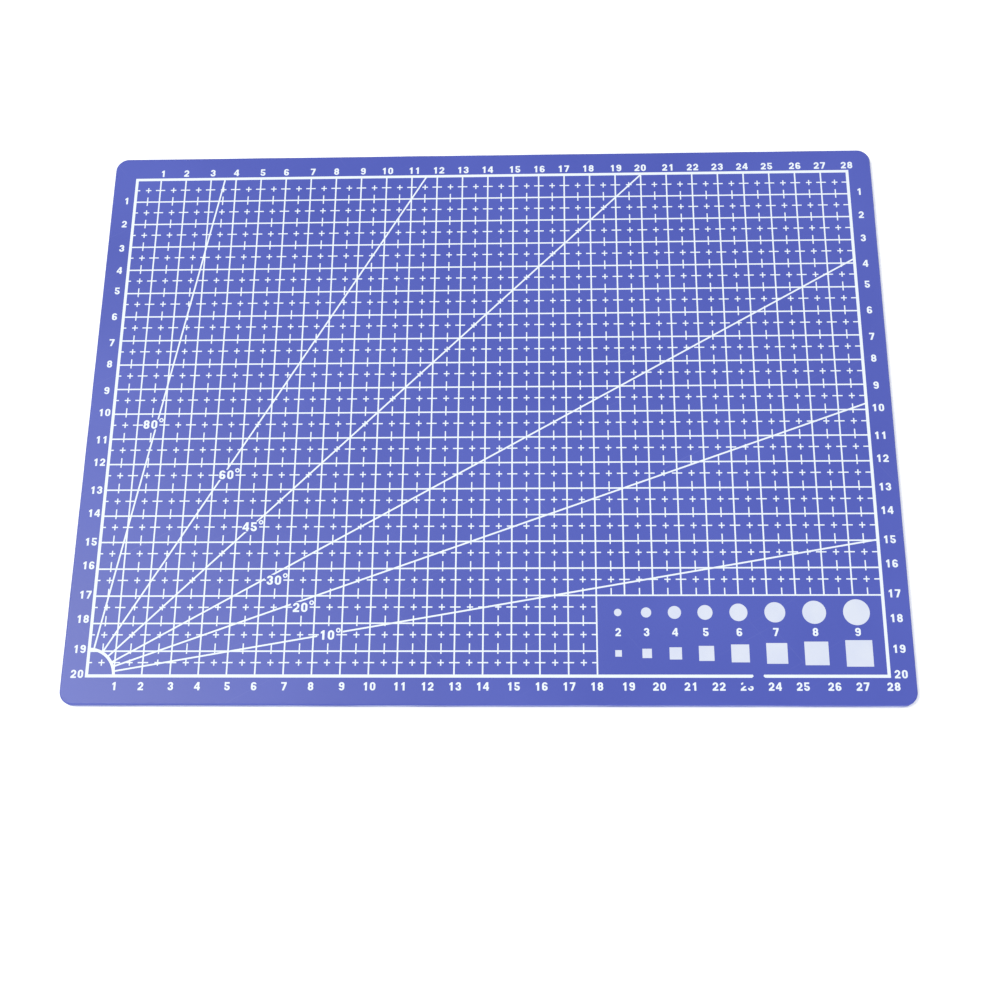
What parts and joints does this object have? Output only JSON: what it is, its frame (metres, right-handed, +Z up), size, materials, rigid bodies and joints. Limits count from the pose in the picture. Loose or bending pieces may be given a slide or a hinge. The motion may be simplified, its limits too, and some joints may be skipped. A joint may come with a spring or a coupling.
{
  "type": "self healing cutting mat",
  "caption": "Flat rectangular cutting mat of bonded soft and hard vinyl plies, rounded corners, printed centimetre grid, angle rays and a hole gauge.",
  "frame": {"origin": "centre of the flat underside of the mat", "axes": "+X along the long side, to the right as the numerals are read; +Y towards the back edge, away from the reader; +Z up out of the printed face"},
  "size_m": [0.2986, 0.2186, 0.003],
  "materials": {
    "skin": "matte soft vinyl with a fine pressed grain, violet blue",
    "core": "translucent greyish white hard vinyl sheet, die-cut edge",
    "ink": "screen printed white ink",
    "gauge_ink": "screen printed white ink in solid areas, slightly thinner over the blue"
  },
  "bodies": {
    "root": {"bottom_skin": "skin", "core_sheet": "core", "top_skin": "skin", "border_line": "ink", "grid_lines": "ink", "angle_lines": "ink", "corner_arc": "ink", "angle_labels": "ink", "numerals_back": "ink", "numerals_front": "ink", "numerals_left": "ink", "numerals_right": "ink", "gauge_discs": "gauge_ink", "gauge_numerals": "ink", "gauge_squares": "gauge_ink"}
  },
  "joints": []
}
